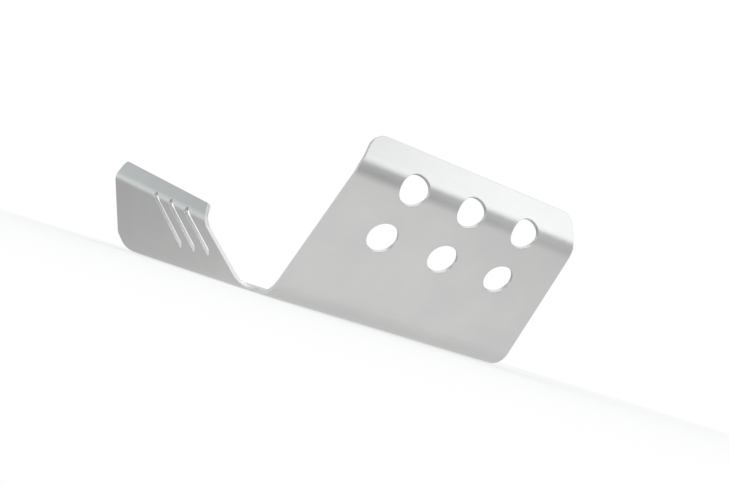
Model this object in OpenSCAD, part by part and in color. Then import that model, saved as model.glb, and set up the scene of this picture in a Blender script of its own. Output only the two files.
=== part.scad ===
// Engine guard of a motorcycle: one laser-cut aluminium sheet, folded into a shallow tub.
// The floor lies flat on z = 0 and carries everything else. A front plate rises from it on a wide
// fold and ends in a lip that is folded back. A wing leaves each side of the floor, leans outward,
// and is folded back inward along a line that climbs towards the rear. Three slots cross that fold.
// X points to the motorcycle's left, Y to its rear and Z up. The origin is the middle of the four
// fixing holes, on the underside of the floor. All lengths are millimetres and angles are degrees.
// Every leg of the sheet is measured to the sharp corner lines, where its outer faces would meet
// if the folds had no radius.

/* [Sheet] */
// Thickness of the aluminium sheet
sheet_t = 3; // [2:0.5:5]
// Inner radius of the two folds across the front plate
front_fold_r = 20; // [8:1:24]
// Inner radius of the folds between the floor and the wings
side_fold_r = 8; // [4:1:10]
// Inner radius of the fold along each wing
wing_fold_r = 10; // [5:1:16]

/* [Floor] */
// Width of the flat floor, and of the front plate at its foot
floor_w = 200; // [180:1:240]
// Length of the floor, from the corner line at the front to the rear edge
floor_len = 308; // [280:1:350]

/* [Fixing holes] */
// Diameter of the four holes in the floor, clear of an M8 bolt
bolt_hole_d = 9; // [6:0.5:12]
// Distance between the holes across the floor
bolt_across = 120; // [80:1:150]
// Distance between the holes along the floor
bolt_along = 160; // [100:1:190]
// Distance from the front corner line to the first pair of holes
bolt_setback = 70; // [40:1:90]

/* [Front plate] */
// Length of the front plate, from corner line to corner line
plate_len = 108.5; // [95:0.5:130]
// Angle that the front plate makes with the floor's own plane, which is what the fold turns through
plate_angle = 60.5; // [50:0.5:70]
// Lean of each side edge of the front plate towards the middle
plate_taper = 4.3; // [0:0.1:8]
// Length of the lip above the upper corner line
lip_len = 25; // [20:0.5:35]
// Angle that the upper fold turns through
lip_angle = 42.5; // [30:0.5:50]
// Lean of each side edge of the lip towards the middle
lip_taper = 14.5; // [0:0.5:20]
// Radius of the two upper corners
lip_corner_r = 12; // [2:0.5:14]

/* [Ventilation holes] */
// Diameter of the ventilation holes
vent_d = 22; // [12:0.5:26]
// Distance from the lower corner line to the lower row, along the plate
vent_low = 67; // [50:0.5:72]
// Distance from the lower corner line to the upper row, along the plate
vent_high = 106; // [100:0.5:112]
// Distance between neighbouring holes of the lower row
vent_low_pitch = 50; // [36:0.5:58]
// Distance between neighbouring holes of the upper row
vent_high_pitch = 47.5; // [36:0.5:56]

/* [Wings] */
// Outward lean of each wing from upright
wing_lean = 22.5; // [10:0.5:35]
// Angle that the fold along the wing turns through, back towards the middle
wing_fold_angle = 42.5; // [20:0.5:50]
// Distance from the front corner line to where the wing leaves the floor's side edge
wing_start = 24.5; // [22:0.5:50]
// Slant of the wing's front edge, its slots and its lower rear corner, from the floor line
slant = 32; // [28:0.5:45]
// Climb of the wing's fold towards the rear, from the floor line
fold_climb = 6.4; // [0:0.1:10]
// Distance from the front corner line to the rear end of the wing's fold
wing_len = 334; // [320:1:370]
// Height of the wing's fold at its rear end, measured up the wing
wing_h = 69; // [60:0.5:80]
// Height of the wing's upper leg at its rear end
flange_h = 17.5; // [14:0.5:26]
// Narrowing of the upper leg towards the front, from the line of the fold
flange_narrowing = 1.2; // [0:0.1:2]
// Slant of the front edge from the start of the fold upward, from the line of the fold
flange_slant = 43; // [30:0.5:60]
// Radius of the upper leg's rear corner
rear_corner_r = 6; // [1:0.5:8]
// Radius of the upper leg's front corner, and of the corners that the slanted cuts leave
small_corner_r = 4; // [1:0.5:5]

/* [Slots] */
// Number of slots in each wing
slot_count = 3; // [1:1:4]
// Width of a slot
slot_w = 6; // [4:0.5:8]
// Distance between neighbouring slots, along the wing's fold
slot_pitch = 38; // [30:0.5:44]
// Distance from the wing's front edge to the first slot's middle, along the wing's fold
slot_setback = 36; // [28:0.5:44]
// Height of the slots' lower ends, measured up the wing
slot_foot = 19; // [14:0.5:24]

/* [Hidden] */
$fn = 96;

cut = 1; // how far a cutter reaches past the face that it cuts
front_fold_steps = 20; // flat strips that stand in for a fold of the front plate
fold_steps = 14; // flat strips that stand in for a fold of a wing
round_steps = 7; // flats that stand in for a rounded corner, or for a quarter of a slot's end
aluminium = [0.80, 0.80, 0.79];

front_y = -(bolt_setback + bolt_along / 2);
rear_y = front_y + floor_len;
lip_turn = plate_angle + lip_angle;
side_fold = 90 - wing_lean;

// Distance from a fold's corner line to the end of the fold, and the length of its outer face
function setback(r, angle) = (r + sheet_t) * tan(angle / 2);
function arc_len(r, angle) = (r + sheet_t) * angle * PI / 180;

side_arc = arc_len(side_fold_r, side_fold);
wing_arc = arc_len(wing_fold_r, wing_fold_angle);
wing_setback = setback(wing_fold_r, wing_fold_angle);
flange_flat = flange_h - wing_setback;

// Points of the arc of radius r that joins two edges, which run from corner p towards a and b
function arc_points(p, a, b, r, steps) =
    let (u = (a - p) / norm(a - p), v = (b - p) / norm(b - p), half = acos(u * v) / 2,
         middle = p + (u + v) / norm(u + v) * r / sin(half), turn = 180 - 2 * half,
         first = p + u * r / tan(half) - middle, second = p + v * r / tan(half) - middle)
    [for (i = [0:steps]) let (part = turn * i / steps)
        middle + (sin(turn - part) * first + sin(part) * second) / sin(turn)];

// Seen from the motorcycle's side, in y and z: the way the sheet runs towards the front once it has
// turned by an angle from the floor, and the way from its outer face inward
function along_sheet(turn) = [-cos(turn), sin(turn)];
function inward(turn) = [sin(turn), cos(turn)];

// The way from an outer corner line to the inner one, for a sheet 1 mm thick
function mitre(turn_a, turn_b) =
    (inward(turn_a) + inward(turn_b)) / (1 + inward(turn_a) * inward(turn_b));

// Line along the floor, front plate and lip, at a depth from the outer face, in y and z
function side_line(depth) =
    let (rear = [rear_y, depth],
         foot = [front_y, 0] + depth * mitre(0, plate_angle),
         corner = [front_y, 0] + plate_len * along_sheet(plate_angle) + depth * mitre(plate_angle, lip_turn),
         top = [front_y, 0] + plate_len * along_sheet(plate_angle) + lip_len * along_sheet(lip_turn)
             + depth * inward(lip_turn),
         r = front_fold_r + sheet_t - depth)
    concat([rear], arc_points(foot, rear, corner, r, front_fold_steps),
        arc_points(corner, foot, top, r, front_fold_steps), [top]);

// Outline of the floor, front plate and lip as seen from the front, in x and z. The upper corners
// are round.
function front_outline() =
    let (corner_z = plate_len * sin(plate_angle), top_z = corner_z + lip_len * sin(lip_turn),
         foot = floor_w / 2, corner = foot - plate_len * tan(plate_taper),
         top = corner - lip_len * tan(lip_taper),
         half = concat([[foot, -cut], [foot, sheet_t], [corner, corner_z]],
             arc_points([top, top_z], [corner, corner_z], [0, top_z], lip_corner_r, round_steps)))
    concat(half, [for (i = [len(half) - 1:-1:0]) [-half[i][0], half[i][1]]]);

// A hole through the sheet at the origin, square to it
module through_hole(d) {
    translate([0, 0, -2 * sheet_t]) cylinder(d = d, h = 5 * sheet_t);
}

// A row of three ventilation holes across the sheet
module vent_row(pitch) {
    for (i = [-1:1]) translate([i * pitch, 0, 0]) through_hole(vent_d);
}

// Places its children on the front plate's outer face, with -y up the plate and z inward
module on_plate(distance) {
    translate([0, front_y, 0]) rotate([-plate_angle, 0, 0]) translate([0, -distance, 0]) children();
}

// The lower row of ventilation holes is on the flat of the plate. The upper row is on the upper fold,
// square to the sheet at the holes' middle.
module vents() {
    r = front_fold_r + sheet_t;
    row_turn = lip_angle / 2 + (vent_high - plate_len) / r * 180 / PI;
    on_plate(vent_low) vent_row(vent_low_pitch);
    on_plate(plate_len - setback(front_fold_r, lip_angle))
        translate([0, 0, r]) rotate([-row_turn, 0, 0]) translate([0, 0, -r]) vent_row(vent_high_pitch);
}

// Floor, front plate and lip
module tub() {
    inner = side_line(sheet_t);
    difference() {
        intersection() {
            rotate([90, 0, 90]) linear_extrude(floor_w + 2 * cut, center = true)
                polygon(concat(side_line(0), [for (i = [len(inner) - 1:-1:0]) inner[i]]));
            rotate([90, 0, 0]) linear_extrude(2 * (floor_len + plate_len), center = true)
                polygon(front_outline());
        }
        vents();
        for (x = [-1, 1], y = [-1, 1])
            translate([x * bolt_across / 2, y * bolt_along / 2, 0]) through_hole(bolt_hole_d);
    }
}

// Point of a sheet with a fold along y: s is the way across the fold on the outer face, counted from
// where the fold starts, and depth is the distance inward from the outer face
function folded(r, angle, s, y, depth) =
    let (arc = arc_len(r, angle), turn = max(0, min(angle, s / arc * angle)),
         past = s - turn / angle * arc, rho = r + sheet_t - depth)
    [rho * sin(turn) + past * cos(turn), y, r + sheet_t - rho * cos(turn) + past * sin(turn)];

// The wing's lower leg has its own plane, with p up the wing from the end of the side fold, and y as
// the whole part. fold_end is the rear end of the wing's fold there. The fold's frame has its origin
// at that point, x across the fold, up the wing, and y along the fold, towards the rear.
fold_end = [wing_h - setback(side_fold_r, side_fold), front_y + wing_len];
function in_fold_frame(q) = let (d = q - fold_end)
    [d[0] * cos(fold_climb) - d[1] * sin(fold_climb), d[0] * sin(fold_climb) + d[1] * cos(fold_climb)];
function in_wing_plane(q) = fold_end
    + [q[0] * cos(fold_climb) + q[1] * sin(fold_climb), q[1] * cos(fold_climb) - q[0] * sin(fold_climb)];

// Points of the left wing, counted from the floor's side edge: q is [s, y] on the side fold, or
// [p, y] on the lower leg, or [s, y] on the wing's fold and the legs at its sides
function on_side_fold(q, depth) = folded(side_fold_r, side_fold, q[0], q[1], depth);
function on_wing(q, depth) = on_side_fold([side_arc + q[0], q[1]], depth);
function on_wing_fold(q, depth) =
    let (f = folded(wing_fold_r, wing_fold_angle, q[0], q[1], depth))
    on_wing(in_wing_plane([f[0] - wing_setback, f[1]]), f[2]);

// How far the slanted edges run along for each millimetre across: on the side fold, in the frame of
// the wing's fold, and from the start of that fold upward
side_k = 1 / tan(slant);
fold_k = 1 / tan(slant - fold_climb);
flange_k = 1 / tan(flange_slant);

// Lower ends of the wing's front edge and of its rear edge on the lower leg, the corner of the rear
// edge, and the front ends of the wing's fold and of the upper leg
front_low = [0, front_y + wing_start + side_arc * side_k];
rear_low = [0, rear_y + side_arc * side_k];
fold_front = let (q = in_fold_frame(front_low)) [0, q[1] - (wing_setback + q[0]) * fold_k];
rear_corner = let (q = in_fold_frame(rear_low)) in_wing_plane([q[0] - q[1] / fold_k, 0]);
flange_low = fold_front + wing_arc * [1, flange_k];
flange_high = let (y = (flange_flat + flange_low[1] / flange_k) / (1 / flange_k - tan(flange_narrowing)))
    [wing_arc + (y - flange_low[1]) / flange_k, y];

// Solid that passes through rings of four points
module through_rings(rings) {
    last = 4 * (len(rings) - 1);
    sides = [for (i = [0:4:last - 4], j = [0:3]) let (a = i + j, b = i + (j + 1) % 4)
        each [[a, a + 4, b], [b, a + 4, b + 4]]];
    ends = [[0, 1, 2], [0, 2, 3], [last, last + 2, last + 1], [last, last + 3, last + 2]];
    polyhedron([for (ring = rings) each ring], concat(sides, ends));
}

// The wing is a chain of rings round the sheet, each from the front edge to the rear edge: over the
// side fold, up the lower leg, over the wing's fold and up the upper leg
function wing_rings() =
    let (outer = 0, inner = sheet_t,
         fold_start = in_wing_plane([-wing_setback, fold_front[1]]),
         rear_arc = arc_points(rear_corner, rear_low, in_wing_plane([0, 0]), small_corner_r,
             round_steps),
         flange_end = [wing_arc + flange_flat, 0],
         front_arc = arc_points(flange_high, flange_low, flange_end, small_corner_r, round_steps),
         top_arc = arc_points(flange_end, [wing_arc, 0], flange_high, rear_corner_r, round_steps))
    concat(
        [for (i = [0:fold_steps]) let (s = side_arc * i / fold_steps,
                f = [s, front_y + wing_start + s * side_k], b = [s, rear_y + s * side_k])
            [on_side_fold(f, inner), on_side_fold(f, outer), on_side_fold(b, outer), on_side_fold(b, inner)]],
        [for (i = [0:round_steps]) let (b = rear_arc[i],
                f = front_low + (fold_start - front_low) * (i + 1) / (round_steps + 2))
            [on_wing(f, inner), on_wing(f, outer), on_wing(b, outer), on_wing(b, inner)]],
        [for (i = [0:fold_steps]) let (s = wing_arc * i / fold_steps,
                f = fold_front + s * [1, flange_k], b = [s, 0])
            [on_wing_fold(f, inner), on_wing_fold(f, outer), on_wing_fold(b, outer), on_wing_fold(b, inner)]],
        [for (i = [0:round_steps]) let (f = front_arc[i], b = top_arc[i])
            [on_wing_fold(f, inner), on_wing_fold(f, outer), on_wing_fold(b, outer), on_wing_fold(b, inner)]]);

// Rings of the cutter for a slot, from its lower end to its upper end in the middle of the wing's
// fold. at is where its middle line would cross the fold's corner line. The lower end keeps its
// height up the wing, so it is further from the fold near the rear.
function slot_rings(at) =
    let (slot_way = [1, fold_k] / norm([1, fold_k]), across = [-slot_way[1], slot_way[0]],
         r = slot_w / 2, top = [wing_arc / 2, at],
         foot_p = slot_foot - setback(side_fold_r, side_fold),
         climb = slot_way[0] * cos(fold_climb) + slot_way[1] * sin(fold_climb),
         length = (in_wing_plane(top - [wing_setback, 0])[0] - foot_p) / climb,
         fold_at = (wing_arc / 2 + r) / slot_way[0])
    [for (row = concat(
            [for (i = [0:round_steps]) let (a = 90 * (i + 0.5) / (round_steps + 0.5))
                [-length - r * cos(a), r * sin(a)]],
            [for (i = [0:fold_steps - 1]) [-fold_at * (1 - i / fold_steps), r]],
            [for (i = [round_steps:-1:0]) let (a = 90 * (i + 0.5) / (round_steps + 0.5))
                [r * cos(a), r * sin(a)]]))
        let (middle = top + row[0] * slot_way, f = middle - row[1] * across, b = middle + row[1] * across)
        [on_wing_fold(f, sheet_t + cut), on_wing_fold(f, -cut),
         on_wing_fold(b, -cut), on_wing_fold(b, sheet_t + cut)]];

// The wing on the left, from the floor's side edge outward
module wing() {
    translate([floor_w / 2, 0, 0]) difference() {
        through_rings(wing_rings());
        for (i = [0:slot_count - 1])
            through_rings(slot_rings(fold_front[1] + wing_setback * fold_k + slot_setback + i * slot_pitch));
    }
}

module guard_plate() {
    color(aluminium) union() {
        tub();
        wing();
        mirror([1, 0, 0]) wing();
    }
}

guard_plate();
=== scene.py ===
import math

import bpy
import numpy as np
from mathutils import Matrix, Vector, geometry


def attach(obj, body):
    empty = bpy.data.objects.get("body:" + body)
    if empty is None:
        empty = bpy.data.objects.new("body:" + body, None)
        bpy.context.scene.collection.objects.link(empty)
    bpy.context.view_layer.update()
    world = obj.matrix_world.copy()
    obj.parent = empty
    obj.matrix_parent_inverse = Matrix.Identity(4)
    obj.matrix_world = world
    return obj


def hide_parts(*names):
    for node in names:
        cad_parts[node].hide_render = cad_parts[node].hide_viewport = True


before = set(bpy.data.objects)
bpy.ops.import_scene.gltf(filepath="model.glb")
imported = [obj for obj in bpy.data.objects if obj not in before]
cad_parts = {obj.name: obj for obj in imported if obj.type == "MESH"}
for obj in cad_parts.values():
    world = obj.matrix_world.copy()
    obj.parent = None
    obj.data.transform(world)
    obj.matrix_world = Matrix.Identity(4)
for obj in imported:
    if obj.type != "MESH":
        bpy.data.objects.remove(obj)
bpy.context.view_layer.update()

# Sizes of the sheet in millimetres and degrees, the same as in the CAD part
SHEET_T = 3.0
FRONT_R, SIDE_R, WING_R = 20.0, 8.0, 10.0
FLOOR_W, FLOOR_LEN = 200.0, 308.0
BOLT_D, BOLT_ACROSS, BOLT_ALONG, BOLT_SETBACK = 9.0, 120.0, 160.0, 70.0
PLATE_LEN, PLATE_ANGLE, PLATE_TAPER = 108.5, 60.5, 4.3
LIP_LEN, LIP_ANGLE, LIP_TAPER, LIP_CORNER_R = 25.0, 42.5, 14.5, 12.0
VENT_D, VENT_LOW, VENT_HIGH = 22.0, 67.0, 106.0
VENT_LOW_PITCH, VENT_HIGH_PITCH = 50.0, 47.5
WING_LEAN, WING_FOLD, WING_START, SLANT = 22.5, 42.5, 24.5, 32.0
FOLD_CLIMB, WING_LEN, WING_H = 6.4, 334.0, 69.0
FLANGE_H, FLANGE_NARROWING, FLANGE_SLANT = 17.5, 1.2, 43.0
REAR_CORNER_R, SMALL_CORNER_R = 6.0, 4.0
SLOT_COUNT, SLOT_W, SLOT_PITCH, SLOT_SETBACK, SLOT_FOOT = 3, 6.0, 38.0, 36.0, 19.0

# Rounding of the cut edges, which are deburred, and how far its middle point stands in, as a share
EDGE_R = 0.35
EDGE_MIDDLE = 0.29

# Fineness of the mesh in millimetres: points along an outline and along its parts, rows across the
# flats, the plate and its folds, points along the wings and their folds, and the least way from an
# outline to a point inside
OUTLINE_STEP, PART_STEP = 1.8, 1.6
FLAT_STEP, PLATE_STEP, FOLD_STEP = 6.0, 5.5, 1.3
WING_STEP, SIDE_FOLD_STEP, WING_FOLD_STEP = 5.5, 5.0, 4.0
RIM_CLEARANCE = 1.15
SIDE_FOLD_ROWS, WING_FOLD_ROWS = 12, 11
VENT_POINTS, BOLT_POINTS, SLOT_END_POINTS = 56, 32, 13

# An upper hole reaches a little further along the bent sheet than across it
VENT_STRETCH = 1.02

# Painted light of the floor in reflections, a glow along y in metres: beside the object and to its left. A
# bright pool under the front of the object fades away from it, the drop to 0.84 at y -0.145 paints shade
# into the plate's lowest fold, and the levels to its left are dimmer under the object
FLOOR_PAINTED_LIGHT = [(-0.8, 0.4), (-0.44, 0.45), (-0.28, 1.0), (-0.165, 1.0), (-0.145, 0.84), (0.02, 0.7),
                (0.45, 0.56)]
FLOOR_PAINTED_LIGHT_LEFT = [(-0.8, 0.82), (-0.5, 0.76), (-0.3, 0.76), (-0.165, 0.86), (0.02, 0.7), (0.45, 0.56)]
FLOOR_REACH = 0.8

# Brightness of the room near the horizon, along the direction's y, and above
ROOM_LEVELS = [(-0.92, 0.36), (-0.74, 0.68), (0.2, 0.8), (0.75, 1.12)]
ROOM_TOP = 0.56

# Lamps: name, place, aim, size in metres and power in watts
LAMPS = [
    ("key", (1.0, -1.3, 0.8), (0, -0.2, 0.1), (1.3, 0.9), 4.6),
    ("fill", (-1.5, -1.0, 1.4), (0, 0, 0.05), (1.4, 1.4), 12),
    ("top", (0.1, 0.4, 2.2), (0, 0, 0), (3.2, 3.2), 20),
]

# The camera as worked out from the photograph, with its focal length in pixels
PHOTO_WIDTH, FOCAL_PIXELS, SENSOR_WIDTH = 729, 972.6, 36.0
CAMERA_PLACE = (-0.3705, -0.7302, 0.0073)
CAMERA_RIGHT = (0.8225, -0.4875, 0.2928)
CAMERA_UP = (-0.2886, 0.0858, 0.9536)
CAMERA_VIEW = (0.4900, 0.8689, 0.0701)


def rad(a):
    return math.radians(a)


def arc_len(r, angle):
    """Length of a fold along its outer face; r is the inside radius."""
    return (r + SHEET_T) * rad(angle)


def setback(r, angle):
    """Way from the corner of the two outer faces to the start of the fold between them."""
    return (r + SHEET_T) * math.tan(rad(angle) / 2)


FRONT_Y = -(BOLT_SETBACK + BOLT_ALONG / 2)
REAR_Y = FRONT_Y + FLOOR_LEN
FOLD_Y = FRONT_Y + setback(FRONT_R, PLATE_ANGLE)
SIDE_FOLD = 90 - WING_LEAN
SIDE_ARC = arc_len(SIDE_R, SIDE_FOLD)
WING_ARC = arc_len(WING_R, WING_FOLD)
WING_BACK = setback(WING_R, WING_FOLD)
FLANGE_FLAT = FLANGE_H - WING_BACK
FOLD_END = np.array([WING_H - setback(SIDE_R, SIDE_FOLD), FRONT_Y + WING_LEN])
CLIMB = np.array([math.cos(rad(FOLD_CLIMB)), math.sin(rad(FOLD_CLIMB))])

# Lengths of the sheet in front of the floor: fold, plate, fold, lip
LEGS = [
    (arc_len(FRONT_R, PLATE_ANGLE), PLATE_ANGLE),
    (PLATE_LEN - setback(FRONT_R, PLATE_ANGLE) - setback(FRONT_R, LIP_ANGLE), 0.0),
    (arc_len(FRONT_R, LIP_ANGLE), LIP_ANGLE),
    (LIP_LEN - setback(FRONT_R, LIP_ANGLE), 0.0),
]
FRONT_LEN = sum(length for length, _ in LEGS)


def side_view(d):
    """Point y, z of the outer face and the turn in radians, d millimetres in front of the floor."""
    y, z, turn = FOLD_Y, 0.0, 0.0
    if d <= 0:
        return y - d, 0.0, 0.0
    for length, angle in LEGS:
        step = min(d, length)
        if angle:
            r = FRONT_R + SHEET_T
            new = turn + step / r
            y += r * (math.sin(turn) - math.sin(new))
            z += r * (math.cos(turn) - math.cos(new))
            turn = new
        else:
            y -= step * math.cos(turn)
            z += step * math.sin(turn)
        d -= step
        if d <= 0:
            break
    return y, z, turn


def folded(r, angle, s, depth):
    """Point across, inward and the turn in radians, for a place s past the start of a fold."""
    outer = r + SHEET_T
    turn = min(max(s / outer, 0.0), rad(angle))
    past = s - turn * outer
    rho = outer - depth
    return (rho * math.sin(turn) + past * math.cos(turn),
            outer - rho * math.cos(turn) + past * math.sin(turn), turn)


def in_fold_frame(p, y):
    """Ways across and along the wing's fold for a place on the wing's plane."""
    a, b = p - FOLD_END[0], y - FOLD_END[1]
    return a * CLIMB[0] - b * CLIMB[1], a * CLIMB[1] + b * CLIMB[0]


def in_wing_plane(a, b):
    """The reverse of in_fold_frame."""
    return (FOLD_END[0] + a * CLIMB[0] + b * CLIMB[1], FOLD_END[1] + b * CLIMB[0] - a * CLIMB[1])


def place(u, v, depth):
    """Point and outward normal of the folded sheet for a place u, v of the flat sheet."""
    side = 1.0 if u >= 0 else -1.0
    s = abs(u) - FLOOR_W / 2
    if s <= 0 or v < FOLD_Y:
        y, z, turn = side_view(FOLD_Y - v)
        inward = (math.sin(turn), math.cos(turn))
        return ((u, y + depth * inward[0], z + depth * inward[1]), (0.0, -inward[0], -inward[1]))
    p, y, lift, tilt = s - SIDE_ARC, v, depth, 0.0
    a, b = in_fold_frame(p, y)
    if p > 0 and a + WING_BACK > 0:
        a, lift, tilt = folded(WING_R, WING_FOLD, a + WING_BACK, depth)
        p, y = in_wing_plane(a - WING_BACK, b)
    x, z, turn = folded(SIDE_R, SIDE_FOLD, SIDE_ARC + p, lift) if p > 0 \
        else folded(SIDE_R, SIDE_FOLD, s, depth)
    # the normal on the wing's plane: up the wing, along y, and out of the outer face
    up, along, out = math.sin(tilt) * CLIMB[0], -math.sin(tilt) * CLIMB[1], math.cos(tilt)
    nx = up * math.cos(turn) + out * math.sin(turn)
    nz = up * math.sin(turn) - out * math.cos(turn)
    return ((side * (FLOOR_W / 2 + x), y, z), (side * nx, along, nz))


def arc_points(p, a, b, r, steps):
    """Rounds the corner p between the ways to a and to b."""
    p, a, b = (np.array(q, float) for q in (p, a, b))
    u, v = (a - p) / np.linalg.norm(a - p), (b - p) / np.linalg.norm(b - p)
    half = math.acos(float(np.clip(u @ v, -1, 1))) / 2
    middle = p + (u + v) / np.linalg.norm(u + v) * r / math.sin(half)
    first, second = p + u * r / math.tan(half) - middle, p + v * r / math.tan(half) - middle
    turn = math.pi - 2 * half
    return [middle + (math.sin(turn * (1 - i / steps)) * first + math.sin(turn * i / steps) * second)
            / math.sin(turn) for i in range(steps + 1)]


def fine(points, step, closed=False):
    """The same line with a point at least every step millimetres."""
    ends = list(points) + ([points[0]] if closed else [])
    out = []
    for a, b in zip(ends[:-1], ends[1:]):
        a, b = np.array(a, float), np.array(b, float)
        n = max(1, math.ceil(np.linalg.norm(b - a) / step))
        out += [a + (b - a) * i / n for i in range(n)]
    return out if closed else out + [np.array(ends[-1], float)]


def developed(s, y):
    """Place on the flat sheet for a place on the wing's fold: s across it and y along it."""
    p, v = in_wing_plane(s - WING_BACK, y)
    return (FLOOR_W / 2 + SIDE_ARC + p, v)


def front_edge_line():
    """Half of the front plate's outline on the flat sheet, from the lip's middle to the floor."""
    corner_z = PLATE_LEN * math.sin(rad(PLATE_ANGLE))
    top_z = corner_z + LIP_LEN * math.sin(rad(PLATE_ANGLE + LIP_ANGLE))
    foot = FLOOR_W / 2
    corner = foot - PLATE_LEN * math.tan(rad(PLATE_TAPER))
    top = corner - LIP_LEN * math.tan(rad(LIP_TAPER))
    rounded = arc_points((top, top_z), (0, top_z), (corner, corner_z), LIP_CORNER_R, 10)
    seen = [(0.0, top_z)] + [tuple(q) for q in rounded] + [(corner, corner_z), (foot, SHEET_T)]
    seen = fine(seen, PART_STEP)
    # heights are met by the way along the sheet: it only rises in front of the floor
    ways = np.linspace(0, FRONT_LEN, 2400)
    heights = np.array([side_view(w)[1] for w in ways])
    line = [(x, FOLD_Y - float(np.interp(z, heights, ways))) for x, z in seen]
    return line + [(foot, FOLD_Y)]


def wing_line():
    """The left wing's outline on the flat sheet, from the floor's front to its rear edge."""
    side_k = 1 / math.tan(rad(SLANT))
    fold_k = 1 / math.tan(rad(SLANT - FOLD_CLIMB))
    flange_k = 1 / math.tan(rad(FLANGE_SLANT))
    narrow = math.tan(rad(FLANGE_NARROWING))
    front_low = (0.0, FRONT_Y + WING_START + SIDE_ARC * side_k)
    rear_low = (0.0, REAR_Y + SIDE_ARC * side_k)
    a, b = in_fold_frame(*front_low)
    fold_front = b - (WING_BACK + a) * fold_k
    flange_low = (WING_ARC, fold_front + WING_ARC * flange_k)
    high = (FLANGE_FLAT + flange_low[1] / flange_k) / (1 / flange_k - narrow)
    flange_high = (WING_ARC + (high - flange_low[1]) / flange_k, high)
    a, b = in_fold_frame(*rear_low)
    rear_corner = in_wing_plane(a - b / fold_k, 0.0)
    flange_end = (WING_ARC + FLANGE_FLAT, 0.0)
    foot = FLOOR_W / 2

    def flat(p, y):
        return (foot + SIDE_ARC + p, y)

    line = [(foot, FRONT_Y + WING_START), flat(*front_low), developed(0, fold_front)]
    line += [developed(*q) for q in arc_points(flange_high, flange_low, flange_end, SMALL_CORNER_R, 7)]
    line += [developed(*q) for q in arc_points(flange_end, flange_high, (WING_ARC, 0), REAR_CORNER_R, 9)]
    line += [flat(*q) for q in arc_points(
        rear_corner, in_wing_plane(0.0, 0.0), rear_low, SMALL_CORNER_R, 7)]
    line += [(foot, REAR_Y)]
    return line, fold_front, fold_k


def round_loop(u, v, r, steps, stretch=1.0):
    """Outline of a round hole on the flat sheet, longer along v by the stretch."""
    return [np.array([u + r * math.cos(2 * math.pi * i / steps), v + r * stretch * math.sin(
        2 * math.pi * i / steps)]) for i in range(steps)]


def slot_loop(at, fold_k):
    """Outline of a slot on the flat sheet."""
    way = np.array([1.0, fold_k]) / math.hypot(1.0, fold_k)
    across = np.array([-way[1], way[0]])
    top = np.array([WING_ARC / 2, at])
    foot_p = SLOT_FOOT - setback(SIDE_R, SIDE_FOLD)
    climb = way[0] * CLIMB[0] + way[1] * CLIMB[1]
    length = (in_wing_plane(top[0] - WING_BACK, top[1])[0] - foot_p) / climb
    r = SLOT_W / 2
    line = [top + across * r * math.sin(t) + way * r * math.cos(t)
            for t in np.linspace(-math.pi / 2, math.pi / 2, SLOT_END_POINTS)]
    line += [top - way * length + across * r * math.sin(t) + way * r * math.cos(t)
             for t in np.linspace(math.pi / 2, math.pi * 1.5, SLOT_END_POINTS)]
    return fine([developed(*q) for q in line], PART_STEP, closed=True)


def all_loops():
    """The sheet's outline, then the outlines of its holes and slots, all on the flat sheet."""
    wing, fold_front, fold_k = wing_line()
    half = front_edge_line()[1:] + wing
    loops = [fine(half + [(-u, v) for u, v in reversed(half)], OUTLINE_STEP, closed=True)]
    outer = FRONT_R + SHEET_T
    low = LEGS[0][0] + VENT_LOW - setback(FRONT_R, PLATE_ANGLE)
    high = LEGS[0][0] + LEGS[1][0] + (rad(LIP_ANGLE) / 2 + (VENT_HIGH - PLATE_LEN) / outer) * outer
    for i in (-1, 0, 1):
        loops.append(round_loop(i * VENT_LOW_PITCH, FOLD_Y - low, VENT_D / 2, VENT_POINTS))
        loops.append(round_loop(i * VENT_HIGH_PITCH, FOLD_Y - high, VENT_D / 2, VENT_POINTS, VENT_STRETCH))
    for x in (-1, 1):
        for y in (-1, 1):
            loops.append(round_loop(x * BOLT_ACROSS / 2, y * BOLT_ALONG / 2, BOLT_D / 2, BOLT_POINTS))
    for i in range(SLOT_COUNT):
        slot = slot_loop(fold_front + WING_BACK * fold_k + SLOT_SETBACK + i * SLOT_PITCH, fold_k)
        loops += [slot, [q * (-1, 1) for q in slot]]
    return [np.array(loop) for loop in loops]


def turned_one_way(loop, positive):
    """The loop, reversed where it doesn't run the way asked for."""
    x, y = loop[:, 0], loop[:, 1]
    area = float(np.sum(x * np.roll(y, -1) - y * np.roll(x, -1)))
    return loop if (area > 0) == positive else loop[::-1].copy()


def void_side(loop):
    """Mitred ways from the metal to the void, for a loop with the metal on its left."""
    before, after = loop - np.roll(loop, 1, 0), np.roll(loop, -1, 0) - loop
    before /= np.linalg.norm(before, axis=1)[:, None]
    after /= np.linalg.norm(after, axis=1)[:, None]
    n1, n2 = np.c_[before[:, 1], -before[:, 0]], np.c_[after[:, 1], -after[:, 0]]
    return (n1 + n2) / np.maximum(1 + np.sum(n1 * n2, axis=1), 0.35)[:, None]


def inside(points, loops):
    """Even-odd test against all loops."""
    hit = np.zeros(len(points), bool)
    px, py = points[:, 0], points[:, 1]
    for loop in loops:
        nxt = np.roll(loop, -1, 0)
        for (x1, y1), (x2, y2) in zip(loop, nxt):
            if y1 == y2:
                continue
            cross = ((y1 > py) != (y2 > py)) & (px < (x2 - x1) * (py - y1) / (y2 - y1) + x1)
            hit ^= cross
    return hit


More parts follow.
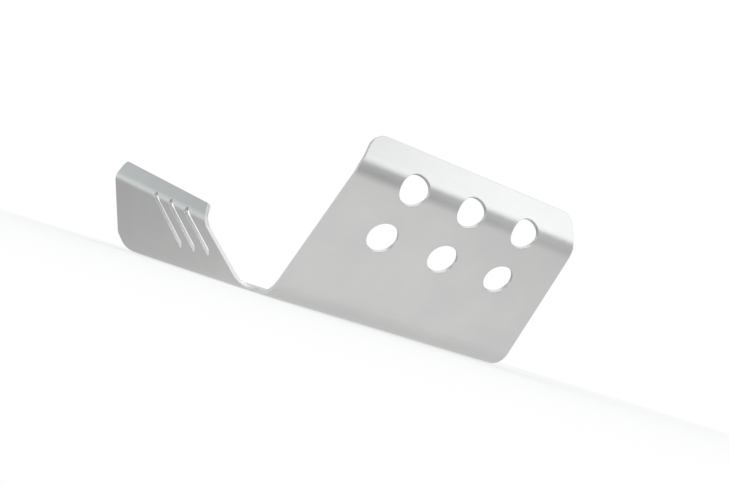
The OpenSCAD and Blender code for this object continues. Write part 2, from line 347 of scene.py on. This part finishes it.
def grid_points():
    """Points inside the sheet: wide apart on the flats and close across the folds."""
    out = []
    ways = list(np.arange(FOLD_Y + 5, REAR_Y, FLAT_STEP))
    d = 0.0
    for length, angle in LEGS:
        n = max(1, round(length / (FOLD_STEP if angle else PLATE_STEP)))
        ways += [FOLD_Y - (d + length * i / n) for i in range(n)]
        d += length
    for v in ways:
        out += [(u, v) for u in np.arange(-96, 96.1, FLAT_STEP)]
    foot = FLOOR_W / 2
    for v in np.arange(FRONT_Y + WING_START - 2, REAR_Y + 24, SIDE_FOLD_STEP):
        out += [(foot + SIDE_ARC * i / SIDE_FOLD_ROWS, v) for i in range(SIDE_FOLD_ROWS + 1)]
    for v in np.arange(FRONT_Y + WING_START, REAR_Y + 40, WING_STEP):
        for p in np.arange(WING_STEP, WING_H, WING_STEP):
            if in_fold_frame(p, v)[0] + WING_BACK < -2.5:
                out.append((foot + SIDE_ARC + p, v))
    for y in np.arange(-250, 0, WING_FOLD_STEP):
        out += [developed(WING_ARC * i / WING_FOLD_ROWS, y) for i in range(WING_FOLD_ROWS + 1)]
        out += [developed(WING_ARC + s, y) for s in (4.0, 8.0)]
    pts = np.array(out)
    wings = pts[pts[:, 0] >= foot]
    return np.vstack([pts, wings * (-1, 1)])


def sheet_mesh(name):
    """The folded sheet as one closed mesh: outer face, inner face and rounded rims round every edge."""
    loops = all_loops()
    loops = [turned_one_way(loop, i == 0) for i, loop in enumerate(loops)]
    ways = [void_side(loop) for loop in loops]
    insets = [loop - EDGE_R * way for loop, way in zip(loops, ways)]
    pts = grid_points()
    pts = pts[inside(pts, insets)]
    rim = np.vstack(insets)
    near = np.full(len(pts), 1e9)
    for i in range(0, len(rim), 200):
        part = rim[i:i + 200]
        near = np.minimum(near, np.min(np.linalg.norm(pts[:, None] - part[None], axis=2), axis=1))
    pts = pts[near > RIM_CLEARANCE]
    flat = np.vstack([rim, pts])
    edges, start = [], 0
    for loop in insets:
        n = len(loop)
        edges += [(start + i, start + (i + 1) % n) for i in range(n)]
        start += n
    verts2, _, tris, source, _, _ = geometry.delaunay_2d_cdt(
        [Vector(q) for q in flat], edges, [], 0, 1e-5)
    verts2 = np.array([tuple(q) for q in verts2])
    if len(verts2) != len(flat):
        raise RuntimeError(f"{len(verts2)} points from {len(flat)}")
    origin = np.array([s[0] for s in source])
    tris = origin[np.array([list(t) for t in tris])]
    centres = flat[tris].mean(axis=1)
    tris = tris[inside(centres, insets)]
    a, b, c = flat[tris[:, 0]], flat[tris[:, 1]], flat[tris[:, 2]]
    area = np.cross(b - a, c - a)
    tris[area < 0] = tris[area < 0][:, ::-1]
    tris = tris[np.abs(area) > 1e-7]

    points, normals, uvs, rims = [], [], [], []
    faces, kinds = [], []

    def add(q, depth, side, way=None):
        """side is 1 for the outer face, -1 for the inner face and 0 for the cut edge."""
        point, normal = place(q[0], q[1], depth)
        n = Vector(normal) * side
        if way is not None:
            eps = 0.01
            moved = Vector(place(q[0] + way[0] * eps, q[1] + way[1] * eps, depth)[0])
            out = (moved - Vector(point)).normalized()
            n = n + out if side else out
        points.append(Vector(point) / 1000)
        normals.append(n.normalized())
        uvs.append((q[0] / 1000, q[1] / 1000))
        return len(points) - 1

    count = len(flat)
    for q in flat:
        add(q, 0.0, 1)
    for q in flat:
        add(q, SHEET_T, -1)
    faces += [tuple(int(i) for i in t[::-1]) for t in tris]
    faces += [tuple(int(i) + count for i in t) for t in tris]
    kinds += [0] * (2 * len(tris))

    start = 0
    for loop, way in zip(loops, ways):
        n = len(loop)
        unit = way / np.linalg.norm(way, axis=1)[:, None]
        soft = EDGE_R * EDGE_MIDDLE
        levels = [(soft, soft, 1), (0.0, EDGE_R, 0), (0.0, SHEET_T / 2, 0),
                  (0.0, SHEET_T - EDGE_R, 0), (soft, SHEET_T - soft, -1)]
        rings = [[start + i for i in range(n)]]
        for inset, depth, side in levels:
            rings.append([add(loop[i] - inset * way[i], depth, side, unit[i]) for i in range(n)])
        rings.append([start + count + i for i in range(n)])
        length = 0.0
        for i in range(n):
            j = (i + 1) % n
            step = float(np.linalg.norm(loop[j] - loop[i]))
            for k, (low, high) in enumerate(zip(rings[:-1], rings[1:])):
                faces.append((low[i], low[j], high[j], high[i]))
                kinds.append(1 if 0 < k < len(rings) - 2 else 0)
                rims.append((len(faces) - 1, length, length + step, k / 6, (k + 1) / 6))
            length += step
        start += n

    mesh = bpy.data.meshes.new(name)
    mesh.from_pydata([tuple(p) for p in points], [], faces)
    grain = mesh.uv_layers.new(name="grain")
    edge = mesh.uv_layers.new(name="edge")
    loop_verts = np.empty(len(mesh.loops), int)
    mesh.loops.foreach_get("vertex_index", loop_verts)
    grain.data.foreach_set("uv", np.array(uvs)[loop_verts].ravel())
    edge_uv = np.zeros((len(mesh.loops), 2))
    for face, l0, l1, d0, d1 in rims:
        first = mesh.polygons[face].loop_start
        edge_uv[first:first + 4] = [(l0, d0), (l1, d0), (l1, d1), (l0, d1)]
    edge.data.foreach_set("uv", (edge_uv / (1000, 1)).ravel())
    mesh.polygons.foreach_set("material_index", np.array(kinds))
    mesh.polygons.foreach_set("use_smooth", np.ones(len(mesh.polygons), bool))
    mesh.validate(clean_customdata=False)
    mesh.normals_split_custom_set_from_vertices([tuple(n) for n in normals])
    mesh.update()
    return mesh


def nodes_of(name):
    mat = bpy.data.materials.new(name)
    mat.use_nodes = True
    tree = mat.node_tree
    for node in list(tree.nodes):
        tree.nodes.remove(node)
    return mat, tree


def add_node(tree, kind, **values):
    node = tree.nodes.new(kind)
    for key, value in values.items():
        setattr(node, key, value)
    return node


def noise(tree, vector, scale, detail=3.0, rough=0.55):
    node = add_node(tree, "ShaderNodeTexNoise")
    node.inputs["Scale"].default_value = scale
    node.inputs["Detail"].default_value = detail
    node.inputs["Roughness"].default_value = rough
    tree.links.new(vector, node.inputs["Vector"])
    return node.outputs["Fac"]


def spread(tree, value, low, high, from_low=0.25, from_high=0.75):
    node = add_node(tree, "ShaderNodeMapRange")
    node.inputs["From Min"].default_value = from_low
    node.inputs["From Max"].default_value = from_high
    node.inputs["To Min"].default_value = low
    node.inputs["To Max"].default_value = high
    tree.links.new(value, node.inputs["Value"])
    return node.outputs["Result"]


def math_node(tree, kind, a, b):
    node = add_node(tree, "ShaderNodeMath", operation=kind)
    for socket, value in zip(node.inputs, (a, b)):
        if isinstance(value, (int, float)):
            socket.default_value = value
        else:
            tree.links.new(value, socket)
    return node.outputs[0]


def ramp(tree, value, low, high, stops):
    """Grey level that runs through the stops, given as value and level, from low to high."""
    node = add_node(tree, "ShaderNodeValToRGB")
    tree.links.new(spread(tree, value, 0.0, 1.0, low, high), node.inputs[0])
    marks = node.color_ramp.elements
    for i, (at, level) in enumerate(sorted(stops)):
        mark = marks[0] if i == 0 else marks[1] if i == 1 else marks.new(1.0)
        mark.position = (at - low) / (high - low)
        mark.color = (level, level, level, 1)
    return node.outputs[0]


def satin_aluminium():
    """Sheet face: fine satin grain across the sheet, with faint clouding from rolling and handling."""
    mat, tree = nodes_of("aluminium_satin")
    uv = add_node(tree, "ShaderNodeUVMap", uv_map="grain").outputs[0]
    stretch = add_node(tree, "ShaderNodeMapping")
    stretch.inputs["Scale"].default_value = (40.0, 2200.0, 1.0)
    tree.links.new(uv, stretch.inputs["Vector"])
    grain = noise(tree, stretch.outputs[0], 1.0, 4.0, 0.6)
    cloud = noise(tree, uv, 28.0, 4.0, 0.55)
    fine_cloud = noise(tree, uv, 420.0, 2.0, 0.5)
    shader = add_node(tree, "ShaderNodeBsdfPrincipled")
    shader.inputs["Metallic"].default_value = 1.0
    tone = add_node(tree, "ShaderNodeMix", data_type="RGBA")
    tone.inputs["A"].default_value = (0.57, 0.575, 0.57, 1)
    tone.inputs["B"].default_value = (0.63, 0.63, 0.62, 1)
    blend = math_node(tree, "ADD", math_node(tree, "MULTIPLY", cloud, 0.6),
                      math_node(tree, "MULTIPLY", grain, 0.4))
    tree.links.new(spread(tree, blend, 0.0, 1.0, 0.35, 0.65), tone.inputs["Factor"])
    tree.links.new(tone.outputs["Result"], shader.inputs["Base Color"])
    rough = math_node(tree, "ADD", spread(tree, cloud, 0.3, 0.34), spread(tree, grain, -0.04, 0.05))
    tree.links.new(rough, shader.inputs["Roughness"])
    bump = add_node(tree, "ShaderNodeBump")
    bump.inputs["Strength"].default_value = 0.12
    bump.inputs["Distance"].default_value = 0.00004
    height = math_node(tree, "ADD", grain, math_node(tree, "MULTIPLY", fine_cloud, 0.6))
    tree.links.new(height, bump.inputs["Height"])
    tree.links.new(bump.outputs[0], shader.inputs["Normal"])
    out = add_node(tree, "ShaderNodeOutputMaterial")
    tree.links.new(shader.outputs[0], out.inputs[0])
    return mat


def cut_aluminium():
    """Laser-cut edge: brighter metal with fine marks that run through the thickness."""
    mat, tree = nodes_of("aluminium_cut")
    uv = add_node(tree, "ShaderNodeUVMap", uv_map="edge").outputs[0]
    stretch = add_node(tree, "ShaderNodeMapping")
    stretch.inputs["Scale"].default_value = (2400.0, 1.2, 1.0)
    tree.links.new(uv, stretch.inputs["Vector"])
    marks = noise(tree, stretch.outputs[0], 1.0, 3.0, 0.6)
    shader = add_node(tree, "ShaderNodeBsdfPrincipled")
    shader.inputs["Metallic"].default_value = 1.0
    tone = add_node(tree, "ShaderNodeMix", data_type="RGBA")
    tone.inputs["A"].default_value = (0.7, 0.705, 0.7, 1)
    tone.inputs["B"].default_value = (0.74, 0.74, 0.735, 1)
    tree.links.new(spread(tree, marks, 0.0, 1.0), tone.inputs["Factor"])
    tree.links.new(tone.outputs["Result"], shader.inputs["Base Color"])
    tree.links.new(spread(tree, marks, 0.4, 0.44), shader.inputs["Roughness"])
    bump = add_node(tree, "ShaderNodeBump")
    bump.inputs["Strength"].default_value = 0.04
    bump.inputs["Distance"].default_value = 0.00004
    tree.links.new(marks, bump.inputs["Height"])
    tree.links.new(bump.outputs[0], shader.inputs["Normal"])
    out = add_node(tree, "ShaderNodeOutputMaterial")
    tree.links.new(shader.outputs[0], out.inputs[0])
    return mat


sheet = bpy.data.objects.new("guard_sheet", sheet_mesh("guard_sheet"))
bpy.context.scene.collection.objects.link(sheet)
sheet.data.materials.append(satin_aluminium())
sheet.data.materials.append(cut_aluminium())
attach(sheet, "root")
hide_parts("guard_plate")


def backdrop_material():
    """Pale floor that shows white to the camera, apart from its shadows, and fades into the white
    background further out. In reflections it glows with painted light: white under the front of the object
    and darker towards the front and the rear, as a lit floor is, with painted shade for the plate's lowest
    fold."""
    mat, tree = nodes_of("backdrop_white")
    paint = add_node(tree, "ShaderNodeBsdfDiffuse")
    paint.inputs["Color"].default_value = (0.86, 0.86, 0.86, 1)
    glow = add_node(tree, "ShaderNodeEmission")
    glow.inputs["Color"].default_value = (1, 1, 1, 1)
    mix = add_node(tree, "ShaderNodeMixShader")
    ray = add_node(tree, "ShaderNodeLightPath")
    spot = add_node(tree, "ShaderNodeTexCoord").outputs["Object"]
    where = add_node(tree, "ShaderNodeSeparateXYZ")
    tree.links.new(spot, where.inputs[0])
    away = add_node(tree, "ShaderNodeVectorMath", operation="LENGTH")
    tree.links.new(spot, away.inputs[0])
    plain = spread(tree, away.outputs["Value"], 0.62, 1.0, 0.3, 0.7)
    # the glow that reflections see is painted light: a pool round the object and painted shade for the
    # plate's lowest fold, blended between the two rows of levels by x
    beside = ramp(tree, where.outputs["Y"], -FLOOR_REACH, FLOOR_REACH, FLOOR_PAINTED_LIGHT)
    left = ramp(tree, where.outputs["Y"], -FLOOR_REACH, FLOOR_REACH, FLOOR_PAINTED_LIGHT_LEFT)
    share = spread(tree, where.outputs["X"], 0.0, 1.0, 0.03, 0.42)
    level = math_node(tree, "ADD", math_node(tree, "MULTIPLY", left, share),
                      math_node(tree, "MULTIPLY", beside, math_node(tree, "SUBTRACT", 1.0, share)))
    direct = ray.outputs["Is Camera Ray"]
    mirrored = math_node(tree, "MAXIMUM", ray.outputs["Is Glossy Ray"], ray.outputs["Is Transmission Ray"])
    tree.links.new(math_node(tree, "MAXIMUM", direct, level), glow.inputs["Strength"])
    seen = math_node(tree, "MAXIMUM", math_node(tree, "MULTIPLY", direct, plain), mirrored)
    tree.links.new(seen, mix.inputs[0])
    tree.links.new(paint.outputs[0], mix.inputs[1])
    tree.links.new(glow.outputs[0], mix.inputs[2])
    out = add_node(tree, "ShaderNodeOutputMaterial")
    tree.links.new(mix.outputs[0], out.inputs[0])
    return mat


def plane(name, size, location):
    """Level square of the given size, centred on the place."""
    mesh = bpy.data.meshes.new(name)
    h = size / 2
    mesh.from_pydata([(-h, -h, 0), (h, -h, 0), (h, h, 0), (-h, h, 0)], [], [(0, 1, 2, 3)])
    obj = bpy.data.objects.new(name, mesh)
    obj.location = location
    bpy.context.scene.collection.objects.link(obj)
    return obj


floor = plane("floor", 12.0, (0, 0, -0.0004))
floor.data.materials.append(backdrop_material())


def studio_world():
    """Soft room light: dimmer in front near the horizon, brighter behind and above. The camera sees
    plain white."""
    world = bpy.data.worlds.new("studio")
    bpy.context.scene.world = world
    world.use_nodes = True
    tree = world.node_tree
    tree.nodes.clear()
    way = add_node(tree, "ShaderNodeSeparateXYZ")
    tree.links.new(add_node(tree, "ShaderNodeTexCoord").outputs["Generated"], way.inputs[0])
    low = ramp(tree, way.outputs["Y"], -1.0, 1.0, ROOM_LEVELS)
    rise = spread(tree, way.outputs["Z"], 0.0, 1.0, 0.05, 0.42)
    level = math_node(tree, "ADD", math_node(tree, "MULTIPLY", low, math_node(tree, "SUBTRACT", 1.0, rise)),
                      math_node(tree, "MULTIPLY", rise, ROOM_TOP))
    room = add_node(tree, "ShaderNodeBackground")
    room.inputs["Color"].default_value = (0.945, 0.99, 1.0, 1)
    tree.links.new(level, room.inputs["Strength"])
    white = add_node(tree, "ShaderNodeBackground")
    white.inputs["Color"].default_value = (1, 1, 1, 1)
    white.inputs["Strength"].default_value = 1.0
    mix = add_node(tree, "ShaderNodeMixShader")
    tree.links.new(add_node(tree, "ShaderNodeLightPath").outputs["Is Camera Ray"], mix.inputs[0])
    tree.links.new(room.outputs[0], mix.inputs[1])
    tree.links.new(white.outputs[0], mix.inputs[2])
    out = add_node(tree, "ShaderNodeOutputWorld")
    tree.links.new(mix.outputs[0], out.inputs[0])


def area_light(name, location, target, size, power):
    """Rectangular lamp that is aimed at the target."""
    data = bpy.data.lights.new(name, "AREA")
    data.shape = "RECTANGLE"
    data.size, data.size_y = size
    data.energy = power
    obj = bpy.data.objects.new(name, data)
    obj.location = location
    obj.rotation_mode = "QUATERNION"
    obj.rotation_quaternion = (Vector(target) - Vector(location)).to_track_quat("-Z", "Y")
    bpy.context.scene.collection.objects.link(obj)
    return obj


def photo_camera():
    """The camera that stands where the photograph was taken."""
    data = bpy.data.cameras.new("camera")
    data.sensor_width = SENSOR_WIDTH
    data.lens = FOCAL_PIXELS / PHOTO_WIDTH * SENSOR_WIDTH
    data.clip_start, data.clip_end = 0.01, 50
    camera = bpy.data.objects.new("camera", data)
    axes = Matrix((Vector(CAMERA_RIGHT), Vector(CAMERA_UP), -Vector(CAMERA_VIEW)))
    camera.rotation_mode = "QUATERNION"
    camera.rotation_quaternion = axes.transposed().to_quaternion()
    camera.location = CAMERA_PLACE
    bpy.context.scene.collection.objects.link(camera)
    bpy.context.scene.camera = camera


studio_world()
for lamp in LAMPS:
    area_light(*lamp)
photo_camera()

bpy.context.scene.view_settings.view_transform = "Standard"
